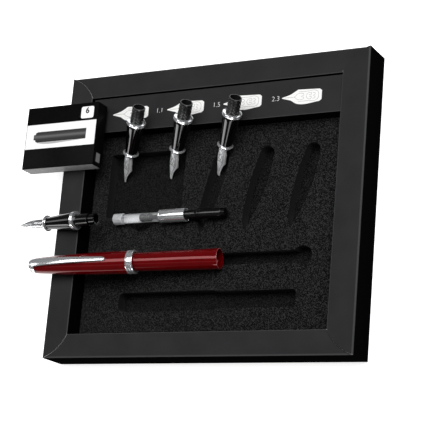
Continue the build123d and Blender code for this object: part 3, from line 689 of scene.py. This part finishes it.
# ---------- carton
class CALLIG_OT_carton(bpy.types.Operator):
    """Cartridge carton with its printed band, picture and number, and the cartridges inside"""
    bl_idname = "callig.carton"
    bl_label = "Carton"

    def execute(self, context):
        black = coated_carton("varnished_boxboard", "#0c0c0c")
        self.white = printed_ink("white_offset_ink", "#fbfbfb")
        settle(softened("carton_sleeve", width=0.1 * MM), "carton_sleeve_board", black, "carton",
               "carton_board", "carton_sleeve")
        dress(coated_carton("grey_printed_boxboard", "#a6a6a6"), "carton_tuck_flap")
        dress(black, "carton_dust_flaps")
        dress(solid_coloured("cartridge_polythene", "#2b2b30", 0.3), "ink_cartridges")
        dress(solid_coloured("black_ink", "#050507", 0.1), "cartridge_ink")
        dress(solid_coloured("seal_ball", "#3a3a3a", 0.4), "cartridge_seals")
        low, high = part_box("carton_sleeve")
        width, depth = high.x - low.x, high.y - low.y
        film, margin = 0.04 * MM, 0.5 * MM
        level = high.z + film
        band = self.panel((low.x + margin, high.y - 0.68 * depth),
                          (high.x - margin, high.y - 0.285 * depth), level, film)
        self.inked(band, "carton_band", self.white)
        self.picture(low, high, level + film)
        badge_low = Vector((low.x + 0.767 * width, high.y - 0.25 * depth, level))
        badge_high = Vector((low.x + 0.943 * width, high.y - 0.06 * depth, level))
        badge = self.rounded_badge(badge_low, badge_high, film)
        self.inked(badge, "carton_badge", self.white)
        spot = (badge_low + badge_high) / 2 + Vector((-1.6 * MM, -0.6 * MM, film))
        number = printed_number("6", spot, film, height=6.0 * MM, bolder=0.16 * MM)
        self.inked(number, "carton_number", black)
        side = self.panel((low.y + 3.0 * MM, low.z + 3.2 * MM),
                          (low.y + 9.5 * MM, high.z - 3.4 * MM), 0, film)
        upright = Matrix(((0, 0, 1, 0), (1, 0, 0, 0), (0, 1, 0, 0), (0, 0, 0, 1)))
        side.matrix_world = Matrix.Translation((high.x + film, 0, 0)) @ upright
        self.inked(side, "carton_side_badge", printed_ink("grey_offset_ink", "#8c8c8c"))
        return {"FINISHED"}

    def inked(self, obj, name, ink):
        settle(obj, name, ink, "carton", "carton_board")

    def panel(self, low, high, level, film):
        """A printed rectangle between two corners."""
        obj = flat_print([low, (high[0], low[1]), high, (low[0], high[1])], film)
        obj.location.z = level
        return obj

    def rounded_badge(self, low, high, film):
        """A printed rectangle with round corners."""
        radius = 1.4 * MM
        hubs = ((low.x + radius, low.y + radius, 180), (high.x - radius, low.y + radius, 270),
                (high.x - radius, high.y - radius, 0), (low.x + radius, high.y - radius, 90))
        points = []
        for x, y, first in hubs:
            for step in range(5):
                angle = math.radians(first + 22.5 * step)
                points.append((x + radius * math.cos(angle), y + radius * math.sin(angle)))
        obj = flat_print(points, film)
        obj.location.z = low.z
        return obj

    def picture(self, low, high, level):
        """A generic dark cartridge drawn on the band: shaded body, nozzle and a soft shadow."""
        width, depth = high.x - low.x, high.y - low.y
        start, shoulder, end = (low.x + part * width for part in (0.12, 0.175, 0.863))
        middle = high.y - 0.493 * depth
        half = 0.0845 * depth
        nozzle = start + 1.6 * MM
        upper = [(end, 1.0), (shoulder, 1.0), (nozzle, 0.8), (nozzle, 0.52), (start, 0.48)]
        lower = [(x, -y) for x, y in reversed(upper)]
        outline = [(x, middle + y * half) for x, y in lower + upper]
        body = flat_print(outline, 0.03 * MM)
        body.location.z = level
        self.inked(body, "carton_cartridge_picture",
                   cartridge_picture("cartridge_picture_ink", middle, half))
        soft = [(start + 2.0 * MM, middle - 1.02 * half), (start + 9.0 * MM, middle - 1.35 * half),
                (end - 14.0 * MM, middle - 1.22 * half), (end - 2.0 * MM, middle - 1.02 * half)]
        shadow = flat_print(soft, 0.02 * MM, rounded=(1, 2))
        shadow.location.z = level - 0.01 * MM
        self.inked(shadow, "carton_picture_shadow", printed_ink("pale_grey_ink", "#b4b4b4"))


# ---------- nib units
class CALLIG_OT_nib_units(bpy.types.Operator):
    """Four nib units: knurled neck, bright rings, tapered grip, engraved nib and ribbed feed"""
    bl_idname = "callig.nib_units"
    bl_label = "Nib units"

    def execute(self, context):
        pen = context.scene.callig_pen
        self.grip_black = lacquer("polished_black_resin", pen.black_colour, "#101010", coat=0.6)
        self.neck_black = solid_coloured("black_abs", "#1b1b1b", 0.24)
        self.chrome = plated_metal("chrome_plated_brass", pen.chrome_colour, 0.14)
        self.steel = nib_steel("brushed_nib_steel", pen.steel_colour, polish=0.15)
        self.bright_steel = nib_steel("polished_nib_steel", pen.steel_colour, polish=0.95)
        self.engraving = solid_coloured("engraved_line_fill", "#26272a", 0.5)
        feed = solid_coloured("ebonite_feed", "#0d0d0d", 0.4)
        ring_middle = 12.7 * MM  # from the neck's open end, where X starts
        for unit in UNITS:
            rear, front = centre(unit + "_rear_ring"), centre(unit + "_front_ring")
            direction = (front - rear).normalized()
            roll = math.radians(-12.0) if unit == "round" else 0.0
            self.matrix = axis_matrix(rear - direction * ring_middle, direction, roll)
            self.body = unit + "_unit"
            dress(feed, unit + "_feed")
            self.neck(unit)
            self.rings(unit)
            self.grip(unit)
            self.nib(unit)
        return {"FINISHED"}

    def finish(self, obj, name, material, slot, *nodes, smooth=30.0):
        settle(place(obj, self.matrix), name, material, self.body, slot, *nodes, smooth=smooth)

    def neck(self, unit):
        """The round unit's neck is a plain sleeve; the italic ones are knurled."""
        if unit == "round":
            profile = [(0, 4.45), (0.15, 4.62), (0.6, 4.62), (0.8, 4.5), (10.9, 4.5), (11.5, 4.5)]
            neck = bored(turned(profile, 72), 4.45)
            dress(self.grip_black, "round_rear_collar")
            self.finish(neck, "round_neck_sleeve", self.grip_black, "black_thread", "round_neck")
            return
        neck = bored(knurled(start=0.0, end=11.5, radius=4.7, depth=0.45, pitch=2.3), 4.48)
        self.finish(neck, unit + "_knurled_neck", self.neck_black, "black_thread",
                    unit + "_neck", smooth=8.0)

    def rings(self, unit):
        rear = [(11.5, 4.5), (11.5, 6.15), (11.62, 6.5), (11.9, 6.68), (12.3, 6.68), (12.52, 6.5),
                (12.6, 6.42), (12.8, 6.42), (12.88, 6.5), (13.1, 6.68), (13.5, 6.68),
                (13.78, 6.5), (13.9, 6.15), (13.9, 4.5)]
        self.finish(turned(rear, 72, closed=True), unit + "_rear_ring_beads", self.chrome,
                    "bright_plate", unit + "_rear_ring")
        front = [(36.5, 3.7), (36.5, 4.45), (36.75, 4.6), (36.9, 5.0), (37.0, 5.45), (37.2, 5.66),
                 (37.55, 5.68), (37.8, 5.55), (37.96, 5.25), (38.0, 4.6), (38.0, 3.7)]
        self.finish(turned(front, 72, closed=True), unit + "_front_ring_flare", self.chrome,
                    "bright_plate", unit + "_front_ring")

    def grip(self, unit):
        profile = [(13.9, 5.5), (13.95, 5.95), (14.15, 6.2), (14.6, 6.24), (15.4, 6.2),
                   (18.0, 5.98), (22.0, 5.62), (26.0, 5.27), (30.0, 4.92), (33.0, 4.67),
                   (35.2, 4.46), (36.2, 4.42), (36.5, 4.4)]
        self.finish(turned(profile, 96), unit + "_turned_grip", self.grip_black, "black_lacquer",
                    unit + "_grip")

    def nib(self, unit):
        steel = self.bright_steel if unit == "round" else self.steel
        settle(softened(unit + "_nib", width=0.05 * MM), unit + "_steel_nib", steel, self.body,
               "nib_steel", unit + "_nib", smooth=35.0)
        strokes = [stroke([self.on_nib(along, mirror * across) for along, across in path],
                          0.24 * MM)
                   for mirror in (-1, 1) for path in self.engraved_paths()]
        self.finish(joined(strokes), unit + "_nib_engraving", self.engraving, "nib_steel",
                    smooth=60.0)

    def engraved_paths(self):
        """Plain scrolls, leaves and a border, as (along, across) points on half of the nib."""
        border = [(39.2, 2.75), (42.0, 2.72), (45.5, 2.72), (49.0, 2.7), (52.0, 2.05),
                  (55.0, 1.15), (58.0, 0.6)]
        second = [(39.2, 2.35), (42.0, 2.3), (45.5, 2.3), (48.6, 2.25), (50.5, 1.7)]
        scroll = [(40.0, 0.3), (41.0, 1.3), (42.4, 1.7), (43.2, 1.1), (42.5, 0.6), (41.9, 1.0)]
        leaf = [(43.4, 0.25), (44.4, 1.35), (46.2, 1.6), (47.4, 0.9), (46.0, 0.45), (43.4, 0.25)]
        curl = [(47.4, 0.9), (48.5, 1.5), (49.5, 1.2), (49.3, 0.7), (48.8, 0.85)]
        return (border, second, scroll, leaf, curl)

    def on_nib(self, along, across):
        """A point on the arched sheet, which bends down towards the tip."""
        radius, bend_start, slope = 3.62, 46.5, 2.9 / 15.1
        drop = max(0.0, along - bend_start) * slope
        return Vector((along, across, math.sqrt(radius ** 2 - across ** 2) - drop)) * MM


# ---------- pen
class CALLIG_OT_pen(bpy.types.Operator):
    """Lacquered barrel and cap with bright ring, crown and sprung clip"""
    bl_idname = "callig.pen"
    bl_label = "Pen"

    def execute(self, context):
        pen = context.scene.callig_pen
        red = lacquer("red_lacquer", pen.lacquer_colour, "#ff2020", coat=0.7)
        chrome = bpy.data.materials["chrome_plated_brass"]
        mount = MOUNTS["barrel_mouth"]
        outward = Vector(mount["axis"]).normalized()
        mouth = Vector(mount["pos_m"]) + outward * 33 * MM  # the mount lies deep in the barrel
        crown = mouth - outward * 139 * MM  # the length of the barrel with the cap on its tail
        cap = axis_matrix(crown, outward)
        barrel = axis_matrix(mouth, -outward)
        outside = [(93.0, 4.0), (92.9, 4.4), (91.8, 5.0), (75.0, 5.58), (60.0, 6.15),
                   (45.0, 6.4), (30.0, 6.62), (15.0, 6.82), (0.35, 6.99), (0.08, 6.95),
                   (0.0, 6.8)]
        inside = [(0.0, 6.45), (0.1, 6.28), (0.4, 6.25), (4.0, 6.25), (4.0, 4.95), (62.0, 4.95),
                  (62.0, 3.75), (90.0, 3.75)]
        settle(place(turned(outside + inside, 96), barrel), "lacquered_barrel", red, "pen",
               "red_lacquer", "pen_barrel")
        # Painted highlight: the thin ring on the barrel's lip is coloured pale pink for the light that catches its
        # edge.
        lip = [(-0.02, 6.62), (-0.03, 6.78), (0.06, 6.95), (0.16, 6.99), (0.1, 6.78)]
        settle(place(turned(lip, 96, closed=True), barrel), "barrel_lip",
               solid_coloured("painted_highlight_lip_lacquer", "#a85656", 0.3), "pen", "red_lacquer")
        shell = [(4.6, 3.05), (4.6, 5.35), (4.7, 5.45), (7.0, 5.66), (10.0, 5.88), (15.0, 6.16),
                 (20.0, 6.4), (25.0, 6.63), (30.0, 6.85), (36.0, 7.06), (43.0, 7.28),
                 (50.0, 7.49), (58.0, 7.64), (66.0, 7.77), (74.0, 7.89), (74.0, 7.2),
                 (50.0, 6.8), (30.0, 6.15), (10.2, 5.2), (9.6, 5.1), (9.6, 3.05)]
        settle(place(turned(shell, 96, closed=True), cap), "lacquered_cap", red, "pen_cap",
               "red_lacquer", "cap_shell")
        beads = [(74.0, 7.2), (74.0, 7.95), (74.15, 8.15), (74.4, 8.24), (74.75, 8.24),
                 (74.95, 8.1), (75.05, 8.0), (77.95, 8.0), (78.05, 8.1), (78.25, 8.24),
                 (78.6, 8.24), (78.85, 8.15), (79.0, 7.95), (79.0, 7.2)]
        settle(place(turned(beads, 96, closed=True), cap), "cap_lip_ring", chrome, "pen_cap",
               "bright_plate", "cap_ring")
        milling = knurled(start=75.2, end=77.8, radius=8.06, depth=0.05, pitch=1.3)
        settle(place(milling, cap), "cap_ring_milling", chrome, "pen_cap", "bright_plate",
               smooth=8.0)
        finial = [(0.0, 3.4), (0.12, 4.1), (0.45, 4.7), (1.0, 5.02), (1.9, 5.04), (2.05, 4.86),
                  (2.3, 4.86), (2.45, 5.1), (4.45, 5.43), (4.6, 5.3), (4.6, 2.9), (9.6, 2.9)]
        settle(place(turned(finial, 72), cap), "cap_crown", chrome, "pen_cap", "bright_plate",
               "cap_finial")
        self.clip(axis_matrix(crown, outward, math.radians(-6.0)), chrome)
        dress(solid_coloured("cap_liner_polypropylene", "#141414", 0.4), "cap_liner")
        return {"FINISHED"}

    def clip(self, matrix, chrome):
        """Bright clip: a domed strip that tapers from the crown to a rounded toe."""
        stations = [(3.45, 5.85, 2.6, 0.4), (4.0, 6.0, 2.78, 0.44), (6.5, 6.6, 2.76, 0.44),
                    (10.0, 7.2, 2.68, 0.44), (15.0, 7.86, 2.55, 0.44), (20.2, 8.33, 2.42, 0.44),
                    (27.0, 8.72, 2.25, 0.44), (34.0, 8.93, 2.1, 0.44), (41.0, 8.97, 1.93, 0.44),
                    (48.0, 8.87, 1.75, 0.44), (54.0, 8.71, 1.6, 0.44), (57.2, 8.6, 1.5, 0.42),
                    (58.5, 8.55, 1.2, 0.38), (59.2, 8.53, 0.7, 0.28)]
        settle(place(lofted(stations, 20), matrix), "sprung_clip", chrome, "clip",
               "bright_plate", "cap_clip", smooth=50.0)


# ---------- converter
class CALLIG_OT_converter(bpy.types.Operator):
    """Piston converter: clear tube, bright sleeve, screw shaft and knob"""
    bl_idname = "callig.converter"
    bl_label = "Converter"

    def execute(self, context):
        black = solid_coloured("gloss_black_abs", context.scene.callig_pen.black_colour, 0.15)
        chrome = bpy.data.materials["chrome_plated_brass"]
        joint = JOINTS["knob_turn"]
        direction = Vector(joint["axis"]).normalized()
        mouth = Vector(joint["pos_m"]) - direction * 66 * MM  # the knob starts 66 mm from it
        self.matrix = axis_matrix(mouth, direction)
        dress(frosted_plastic("frosted_polystyrene", "#f4f6f8", clearness=0.55), "converter_mouth")
        axis_height = centre("converter_tube").z
        dress(thin_clear_tube("clear_polystyrene", "#f4f6f8", axis_height), "converter_tube")
        dress(solid_coloured("seal_rubber", "#1c1c1e", 0.35), "piston_seal")
        dress(black, "knob_nub")
        sleeve = [(37.5, 3.36), (37.5, 4.5), (37.65, 4.68), (38.3, 4.7), (38.45, 4.6),
                  (38.7, 4.6), (38.85, 4.7), (57.7, 4.7), (57.95, 4.62), (58.0, 4.5),
                  (57.95, 4.3), (57.7, 4.2), (57.4, 4.2), (57.4, 3.1), (53.6, 3.1), (53.6, 4.2),
                  (42.4, 4.2), (42.4, 3.36)]
        self.finish(turned(sleeve, 72, closed=True), "converter_bright_sleeve", chrome,
                    "converter", "bright_plate", "converter_sleeve")
        rod = [(29.8, 1.3), (29.9, 1.5), (50.4, 1.5), (50.5, 2.8), (50.6, 3.0)]
        for turn in range(14):
            start = 51.5 + turn
            rod += [(start, 3.0), (start + 0.3, 2.85), (start + 0.6, 3.0)]
        rod += [(66.0, 3.0)]
        self.finish(turned(rod, 48), "converter_screw_shaft", black, "piston", "black_lacquer",
                    "piston_rod")
        knob = [(66.0, 2.8), (66.05, 3.15), (66.3, 3.33), (67.4, 3.35), (67.6, 3.2), (67.9, 3.2),
                (68.1, 3.35), (85.1, 3.35), (85.4, 3.2), (85.5, 2.9)]
        self.finish(turned(knob, 64), "converter_knob", black, "knob", "black_thread",
                    "piston_knob")
        return {"FINISHED"}

    def finish(self, obj, name, material, body, slot, node):
        settle(place(obj, self.matrix), name, material, body, slot, node)


# ---------- stage
class CALLIG_OT_stage(bpy.types.Operator):
    """Camera, softboxes, dim room and pale floor"""
    bl_idname = "callig.stage"
    bl_label = "Stage"

    camera_spot = (0.48056, -0.26632, 0.86424)
    camera_forward = (-0.4735, 0.2625, -0.8408)
    camera_up = (0.0541, 0.9614, 0.2697)
    floor_width = 6.0
    # name, place, width and height in metres, power in watts
    lamps = (
        ("overhead_softbox", (0.55, 0.42, 1.3), (1.0, 1.0), 20.0),
        ("barrel_softbox", (-0.3, 0.1, 1.2), (0.5, 0.75), 3.8),
        ("strip_softbox", (-0.31, -0.8, 0.96), (0.7, 0.16), 0.1),
        ("front_softbox", (0.031, -1.18, 0.176), (0.523, 0.25), 2.1),
        ("side_softbox", (-0.949, -0.702, 0.272), (0.61, 0.212), 2.6),
        ("left_softbox", (-0.95, 0.12, 0.72), (0.3, 0.4), 1.0),
    )

    def execute(self, context):
        stage = context.scene.callig_stage
        self.camera(context, stage.lens)
        self.floor(stage.floor_colour)
        self.room(context)
        for name, spot, extent, power in self.lamps:
            self.softbox(context, name, Vector(spot), extent, power * stage.light_level)
        context.scene.view_settings.view_transform = "Standard"
        return {"FINISHED"}

    def camera(self, context, lens):
        data = bpy.data.cameras.new("camera")
        data.lens = lens
        data.sensor_width = 36.0
        data.sensor_fit = "HORIZONTAL"
        camera = bpy.data.objects.new("camera", data)
        context.collection.objects.link(camera)
        forward = Vector(self.camera_forward).normalized()
        right = forward.cross(Vector(self.camera_up)).normalized()
        basis = Matrix((right, right.cross(forward), -forward)).transposed().to_4x4()
        camera.matrix_world = Matrix.Translation(self.camera_spot) @ basis
        context.scene.camera = camera

    def seen(self, tree, by_camera, by_gloss):
        """A strength that only the camera, gloss and clear pieces see; it lights nothing."""
        path = add(tree, "ShaderNodeLightPath").outputs
        straight = add(tree, "ShaderNodeMath", {0: path["Is Camera Ray"], 1: by_camera},
                       operation="MULTIPLY")
        mirrored = add(tree, "ShaderNodeMath",
                       {0: path["Is Glossy Ray"], 1: path["Is Transmission Ray"]},
                       operation="MAXIMUM")
        return add(tree, "ShaderNodeMath",
                   {0: mirrored.outputs[0], 1: by_gloss, 2: straight.outputs[0]},
                   operation="MULTIPLY_ADD").outputs[0]

    def floor(self, hex_value):
        """A wide pale sheet that glows to the camera, more where the lamps don't reach, so
        that it reads white all over."""
        deselect()
        bpy.ops.mesh.primitive_plane_add(size=self.floor_width, location=(0, 0, -0.5 * MM))
        floor = bpy.context.object
        edit_all(floor)
        bpy.ops.mesh.subdivide(number_cuts=3)
        leave_edit()
        floor.name = "floor"
        material, tree, shader, point = surface("pale_floor", Roughness=0.9, Emission_Color=WHITE,
                                                Base_Color=linear(hex_value))
        away = add(tree, "ShaderNodeVectorMath", {0: point}, operation="LENGTH").outputs["Value"]
        glow = add(tree, "ShaderNodeMapRange", {"Value": away, "From Min": 0.5, "From Max": 1.5,
                                                "To Min": 0.75, "To Max": 1.0})
        strength = self.seen(tree, glow.outputs["Result"], 0.75)
        tree.links.new(strength, shader["Emission Strength"])
        floor.data.materials.append(material)

    def room(self, context):
        """A dim white room, which the camera sees nearly white."""
        to_camera, to_gloss, light = 0.95, 0.04, 0.05
        world = bpy.data.worlds.new("room")
        world.use_nodes = True
        tree = world.node_tree
        background = tree.nodes["Background"].inputs
        background["Color"].default_value = WHITE
        add(tree, "ShaderNodeMath", {0: self.seen(tree, to_camera, to_gloss), 1: light},
            operation="ADD", into=background["Strength"])
        context.scene.world = world

    def softbox(self, context, name, spot, extent, power):
        """A rectangular lamp that faces the tray; its width runs level."""
        data = bpy.data.lights.new(name, "AREA")
        data.shape = "RECTANGLE"
        data.size, data.size_y = extent
        data.energy = power
        lamp = bpy.data.objects.new(name, data)
        context.collection.objects.link(lamp)
        turn = (Vector((0, 0, 10 * MM)) - spot).to_track_quat("-Z", "Y")
        lamp.matrix_world = Matrix.Translation(spot) @ turn.to_matrix().to_4x4()


# ---------- add-on
SETTINGS = {"callig_tray": TraySettings, "callig_pen": PenSettings, "callig_stage": StageSettings}
STEPS = (CALLIG_OT_tray, CALLIG_OT_card_prints, CALLIG_OT_carton, CALLIG_OT_nib_units,
         CALLIG_OT_pen, CALLIG_OT_converter, CALLIG_OT_stage)


class CALLIG_PT_panel(bpy.types.Panel):
    """Lists the steps that dress the set"""
    bl_idname = "CALLIG_PT_panel"
    bl_label = "Calligraphy Set"
    bl_space_type = "VIEW_3D"
    bl_region_type = "UI"
    bl_category = "Calligraphy Set"

    def draw(self, context):
        for step in STEPS:
            self.layout.operator(step.bl_idname)
        for name in SETTINGS:
            settings = getattr(context.scene, name)
            box = self.layout.box()
            for key in settings.__annotations__:
                box.prop(settings, key)


CLASSES = (*SETTINGS.values(), *STEPS, CALLIG_PT_panel)


def register():
    for kind in CLASSES:
        bpy.utils.register_class(kind)
    for name, kind in SETTINGS.items():
        setattr(bpy.types.Scene, name, PointerProperty(type=kind))


def unregister():
    for name in SETTINGS:
        delattr(bpy.types.Scene, name)
    for kind in reversed(CLASSES):
        bpy.utils.unregister_class(kind)


def main():
    register()
    for step in STEPS:
        group, action = step.bl_idname.split(".")
        getattr(getattr(bpy.ops, group), action)()


if __name__ == "__main__":
    main()
